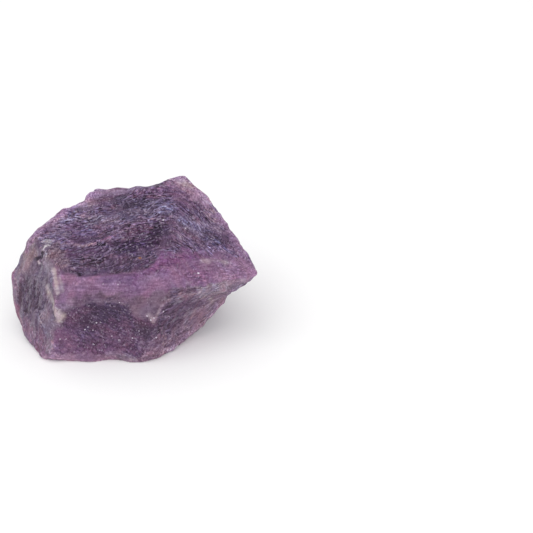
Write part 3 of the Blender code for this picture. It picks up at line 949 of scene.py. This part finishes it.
def broken_lepidolite(settings):
    """Compact lepidolite, naturally broken.

    It is an aggregate of lithium mica. Where the break crosses the sheets they show as fine,
    wavy, bluish threads over deep violet; along the sheets the face is smooth, lilac and waxy.
    """
    material = new_material("broken_lepidolite")
    tree = material.node_tree
    tint = add_node(tree, "ShaderNodeAttribute", attribute_name="tint").outputs["Color"]
    threads, grains, wisps, waxy, fanned_share = (
        add_node(tree, "ShaderNodeAttribute", attribute_name=name).outputs["Fac"]
        for name in ("threads", "grains", "wisps", "waxy", "fanned_share"))
    folded, fanned, silk = (
        add_node(tree, "ShaderNodeAttribute", attribute_name=name).outputs["Vector"]
        for name in ("folded_sheets", "fanned_sheets", "silk"))
    folded_colour, bundles = sheet_colours(tree, settings, folded, tint, threads, wisps)
    fanned_colour, _ = sheet_colours(tree, settings, fanned, tint, threads, wisps)
    threaded = add_node(tree, "ShaderNodeMix", {
        0: fanned_share, 6: folded_colour, 7: fanned_colour}, data_type="RGBA").outputs[2]
    # Fine silky streaks on the waxy faces, about 5 mm by 0.6 mm
    silk = add_node(tree, "ShaderNodeVectorMath", {0: silk, 1: (0.35, 2.8, 0.4)},
                    operation="MULTIPLY").outputs[0]
    silk = add_node(tree, "ShaderNodeTexNoise", {
        "Vector": silk, "Scale": 1.0, "Detail": 2.0, "Roughness": 0.7}).outputs["Fac"]
    silk_shade = add_node(tree, "ShaderNodeMapRange", {
        "Value": silk, "From Min": 0.3, "From Max": 0.7, "To Min": 0.75, "To Max": 1.25,
        }).outputs[0]
    threaded = add_node(tree, "ShaderNodeMix", {
        0: waxy, 6: threaded, 7: shaded(tree, threaded, silk_shade)}, data_type="RGBA").outputs[2]
    # Grains about 0.3 mm wide: each its own shade, a few pale and a few dark
    solid_place = add_node(tree, "ShaderNodeTexCoord").outputs["Object"]
    grain_place = add_node(tree, "ShaderNodeVectorMath", {0: solid_place, 1: (4.2, 2.8, 3.9)},
                           operation="MULTIPLY").outputs[0]
    cells = add_node(tree, "ShaderNodeTexVoronoi", {"Vector": grain_place, "Scale": 1 / MM})
    chance = add_node(tree, "ShaderNodeSeparateColor", {0: cells.outputs["Color"]})
    grain_shade = add_node(tree, "ShaderNodeMapRange", {
        "Value": chance.outputs[2], "To Min": 0.4, "To Max": 1.6}).outputs[0]
    grained = add_node(tree, "ShaderNodeMix", {
        0: grains, 6: threaded, 7: shaded(tree, threaded, grain_shade)},
        data_type="RGBA").outputs[2]
    for value, start, most, colour in (
            (chance.outputs[0], 0.9, 0.8, settings.pale_grain),
            (chance.outputs[1], 0.85, 0.4, settings.deep_violet)):
        few = add_node(tree, "ShaderNodeMapRange", {
            "Value": value, "From Min": start, "From Max": 1.0, "To Min": 0.0, "To Max": most,
            }).outputs[0]
        few = add_node(tree, "ShaderNodeMath", {0: few, 1: grains},
                       operation="MULTIPLY").outputs[0]
        grained = add_node(tree, "ShaderNodeMix", {0: few, 6: grained, 7: colour},
                           data_type="RGBA").outputs[2]
    rough = add_node(tree, "ShaderNodeMapRange", {
        "Value": waxy, "To Min": 0.58, "To Max": 0.42}).outputs[0]
    # Relief finer than the mesh: the bundles' edges and the grains, up to about 0.1 mm
    height = add_node(tree, "ShaderNodeMath", {0: bundles, 1: chance.outputs[2]},
                      operation="ADD").outputs[0]
    strength = add_node(tree, "ShaderNodeMapRange", {
        "Value": waxy, "To Min": 0.6, "To Max": 0.2}).outputs[0]
    bump = add_node(tree, "ShaderNodeBump", {
        "Height": height, "Strength": strength, "Distance": 0.2 * MM}).outputs[0]
    shader = add_node(tree, "ShaderNodeBsdfPrincipled", {
        "Base Color": grained, "Roughness": rough, "Normal": bump, "IOR": MICA_IOR,
        "Specular IOR Level": 0.18, "Subsurface Weight": 0.12,
        "Subsurface Radius": (1.0, 0.6, 1.0), "Subsurface Scale": 1.2 * MM})
    add_node(tree, "ShaderNodeOutputMaterial", {"Surface": shader.outputs[0]})
    return material


def cleaved_mica():
    """Single mica grains: pale lilac plates with the pearly gloss of a cleavage face."""
    material = new_material("cleaved_mica")
    tree = material.node_tree
    tint = add_node(tree, "ShaderNodeAttribute", attribute_name="tint").outputs["Color"]
    shader = add_node(tree, "ShaderNodeBsdfPrincipled", {
        "Base Color": tint, "Roughness": 0.35, "IOR": MICA_IOR, "Specular IOR Level": 0.5})
    add_node(tree, "ShaderNodeOutputMaterial", {"Surface": shader.outputs[0]})
    return material


def make_stone(settings):
    """Shapes and colours the stone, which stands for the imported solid."""
    stone = even_surface(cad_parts["lepidolite"], settings.surface_step)
    tree = stone_tree(stone)
    points = numbers_of(stone.data, "co")
    waves = waviness(points)
    folded = folded_places(points, waves)
    raise_lines(stone, tree)
    values = zone_values(stone, settings)
    roughen(stone, settings, folded, values[:, WAXY])
    lay_streaks(stone, tree, values)
    tints = np.maximum(values[:, :3] - SHEEN, 0.002) / STUDIO_LIGHT
    # Painted shade and light by relief: hollows are painted darker, as if in shade, and ridges
    # paler, partly worn and partly painted light. Fine ones and then broad ones: the passes of
    # smoothing that take them away, and the height in mm at which they are palest
    for passes, full in ((10, 0.15), (70, 0.4)):
        tints *= 1 + 0.2 * np.clip(bumpiness(stone, passes) / full, -1, 1)[:, None]
    # Patches where the sheets are frayed are bluer and full of threads, the others more purple
    frayed = noises(folded, (0.2, 0.5, 0.2), octaves=2)
    threads = values[:, THREADS]
    tints *= 1 + (frayed * threads)[:, None] * np.array((-0.12, -0.02, 0.05))
    # Everywhere some bundles of sheets are rosier and others bluer
    rosy = noises(folded, (0.3, 1.1, 0.4), (40, 0, 0))
    tints *= 1 + rosy[:, None] * np.array((0.1, 0.0, -0.1))
    store(stone.data, "tint", tints)
    store(stone.data, "threads", threads * np.clip(0.8 + 1.1 * frayed, 0.3, 1.1))
    store(stone.data, "grains", values[:, GRAINS])
    store(stone.data, "wisps", values[:, WISPS])
    store(stone.data, "waxy", values[:, WAXY])
    store(stone.data, "fanned_share", values[:, FANNED])
    for name, places in (
            ("folded_sheets", folded), ("fanned_sheets", spread_places(points, waves)),
            ("silk", silk_places(points, waves))):
        vectors = stone.data.attributes.new(name, "FLOAT_VECTOR", "POINT")
        vectors.data.foreach_set("vector", places.ravel())
    flatten_base(stone)
    for face in stone.data.polygons:
        face.use_smooth = True
    stone.data.materials.clear()
    stone.data.materials.append(broken_lepidolite(settings))
    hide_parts("lepidolite")
    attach(stone, "root")


def add_grain(bm, place, facing, width, chance):
    """Adds one thin mica plate that leans out of the surface."""
    lean = Vector([chance.gauss(0, 0.28) for _ in range(3)])
    spin = (facing + lean).normalized().to_track_quat("Z", "Y").to_matrix().to_4x4()
    spin = spin @ Matrix.Rotation(chance.uniform(0, math.pi), 4, "Z")
    size = Matrix.Diagonal((width, width * chance.uniform(0.55, 1.0), width * 0.3, 1.0))
    where = Matrix.Translation(place + facing * 0.02 * MM) @ spin @ size
    bmesh.ops.create_cone(
        bm, cap_ends=True, cap_tris=False, segments=PLATE_SIDES, radius1=0.5, radius2=0.42,
        depth=0.6, matrix=where)


def joined_grains(spots, chance):
    """One mesh of all grains. They are made a hundred at a time, which keeps it quick."""
    many = 100
    whole = bmesh.new()
    for first in range(0, len(spots), many):
        some = bmesh.new()
        for place, facing, width, _ in spots[first : first + many]:
            add_grain(some, place, facing, width, chance)
        batch = bpy.data.meshes.new("batch")
        some.to_mesh(batch)
        some.free()
        whole.from_mesh(batch)
        bpy.data.meshes.remove(batch)
    mesh = bpy.data.meshes.new("mica_grains")
    whole.to_mesh(mesh)
    whole.free()
    corners = 2 * PLATE_SIDES
    store(mesh, "tint", np.repeat([colour for _, _, _, colour in spots], corners, axis=0))
    return mesh


def make_grains(settings):
    """Strews the loose mica grains over the broken faces, a little paler than the stone there.

    They lie in swarms about 5 mm wide, where the stone is grainy, and not at its foot.
    """
    chance = random.Random(GRAIN_SEED)
    stone = bpy.data.objects["lepidolite_stone"]
    tree = stone_tree(stone)
    share = np.empty(len(stone.data.vertices))
    stone.data.attributes["grains"].data.foreach_get("value", share)
    tints = np.empty(len(stone.data.vertices) * 4)
    stone.data.attributes["tint"].data.foreach_get("color", tints)
    tints = tints.reshape(-1, 4)[:, :3]
    faces = stone.data.polygons
    spots = []
    while len(spots) < settings.count:
        face = faces[chance.randrange(len(faces))]
        near = face.vertices[0]
        crowd = max(0.0, 0.25 + 1.8 * noise.noise(face.center / (3.0 * MM)))
        if face.center.z > 0.4 * MM and chance.random() < crowd * share[near] ** 2:
            width = settings.width * chance.uniform(0.55, 1.25)
            colour = tints[near] * chance.uniform(1.1, 2.0) + 0.02
            spots.append((face.center.copy(), face.normal.copy(), width, colour))
    # The grains where the stone glints, pale partly as a painted glint
    for pixel, size in BRIGHT_GRAINS.items():
        spots.append((*place_on_stone(tree, pixel), size * MM, linear(BRIGHT_MICA)[:3]))
    mesh = joined_grains(spots, chance)
    mesh.materials.append(cleaved_mica())
    grains = new_object("mica_grains", mesh)
    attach(grains, "root")


def area_light(name, place, power):
    """A soft square light, 0.3 m wide, that faces the stone. Places are in metres."""
    stone_middle = Vector((0, 0, 0.01))
    lamp = bpy.data.lights.new(name, "AREA")
    lamp.size = 0.3
    lamp.energy = power
    made = new_object(name, lamp)
    made.location = place
    made.rotation_euler = (stone_middle - Vector(place)).to_track_quat("-Z", "Y").to_euler()


def set_stage(settings):
    """The floor, the light and the camera. The floor reaches 3 m to each side."""
    bm = bmesh.new()
    bmesh.ops.create_grid(bm, x_segments=1, y_segments=1, size=3.0)
    mesh = bpy.data.meshes.new("floor")
    bm.to_mesh(mesh)
    bm.free()
    floor = new_object("floor", mesh)
    # White, matt paper: it takes a soft shadow and shows no gloss
    paper = new_material("matt_paper")
    tree = paper.node_tree
    shader = add_node(tree, "ShaderNodeBsdfPrincipled", {
        "Base Color": settings.floor_colour, "Roughness": 0.9})
    add_node(tree, "ShaderNodeOutputMaterial", {"Surface": shader.outputs[0]})
    mesh.materials.append(paper)
    world = bpy.data.worlds.new("studio")
    world.use_nodes = True
    background = world.node_tree.nodes["Background"]
    background.inputs["Color"].default_value = (1, 1, 1, 1)
    background.inputs["Strength"].default_value = settings.sky_strength
    bpy.context.scene.world = world
    area_light("key", (-0.14, -0.10, 0.42), power=0.45)
    area_light("front", (0.12, -0.45, 0.16), power=0.35)
    lens = bpy.data.cameras.new("camera")
    lens.lens = LENS
    lens.sensor_width = SENSOR
    lens.clip_start = 0.01
    camera = new_object("camera", lens)
    camera.location = EYE
    camera.rotation_euler = (math.pi / 2 - STEEPNESS, 0.0, 0.0)
    bpy.context.scene.camera = camera
    bpy.context.scene.view_settings.view_transform = "Standard"


class LEPIDOLITE_OT_stone(bpy.types.Operator):
    """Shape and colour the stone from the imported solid"""

    bl_idname = "lepidolite.stone"
    bl_label = "Make Stone"

    def execute(self, context):
        make_stone(context.scene.lepidolite_stone)
        return {"FINISHED"}


class LEPIDOLITE_OT_grains(bpy.types.Operator):
    """Strew loose mica grains over the stone's broken faces"""

    bl_idname = "lepidolite.grains"
    bl_label = "Strew Mica Grains"

    def execute(self, context):
        make_grains(context.scene.lepidolite_grains)
        return {"FINISHED"}


class LEPIDOLITE_OT_stage(bpy.types.Operator):
    """Lay the floor and set the light and the camera"""

    bl_idname = "lepidolite.stage"
    bl_label = "Set Stage"

    def execute(self, context):
        set_stage(context.scene.lepidolite_stage)
        return {"FINISHED"}


class LEPIDOLITE_PT_panel(bpy.types.Panel):
    """The stone's sizes and colours, and the steps that make it"""

    bl_idname = "LEPIDOLITE_PT_panel"
    bl_label = "Raw Lepidolite"
    bl_space_type = "VIEW_3D"
    bl_region_type = "UI"
    bl_category = "Lepidolite"

    def draw(self, context):
        for group, step in (
            ("lepidolite_stone", LEPIDOLITE_OT_stone),
            ("lepidolite_grains", LEPIDOLITE_OT_grains),
            ("lepidolite_stage", LEPIDOLITE_OT_stage),
        ):
            box = self.layout.box()
            settings = getattr(context.scene, group)
            for name in settings.__annotations__:
                box.prop(settings, name)
            box.operator(step.bl_idname)


CLASSES = (
    StoneSettings,
    GrainSettings,
    StageSettings,
    LEPIDOLITE_OT_stone,
    LEPIDOLITE_OT_grains,
    LEPIDOLITE_OT_stage,
    LEPIDOLITE_PT_panel,
)


def register():
    """Registers the classes and the settings."""
    for kind in CLASSES:
        bpy.utils.register_class(kind)
    bpy.types.Scene.lepidolite_stone = PointerProperty(type=StoneSettings)
    bpy.types.Scene.lepidolite_grains = PointerProperty(type=GrainSettings)
    bpy.types.Scene.lepidolite_stage = PointerProperty(type=StageSettings)


def unregister():
    """Takes the settings and the classes out again."""
    del bpy.types.Scene.lepidolite_stage
    del bpy.types.Scene.lepidolite_grains
    del bpy.types.Scene.lepidolite_stone
    for kind in reversed(CLASSES):
        bpy.utils.unregister_class(kind)


def main():
    """Makes the scene."""
    register()
    bpy.ops.lepidolite.stone()
    bpy.ops.lepidolite.grains()
    bpy.ops.lepidolite.stage()


if __name__ == "__main__":
    main()
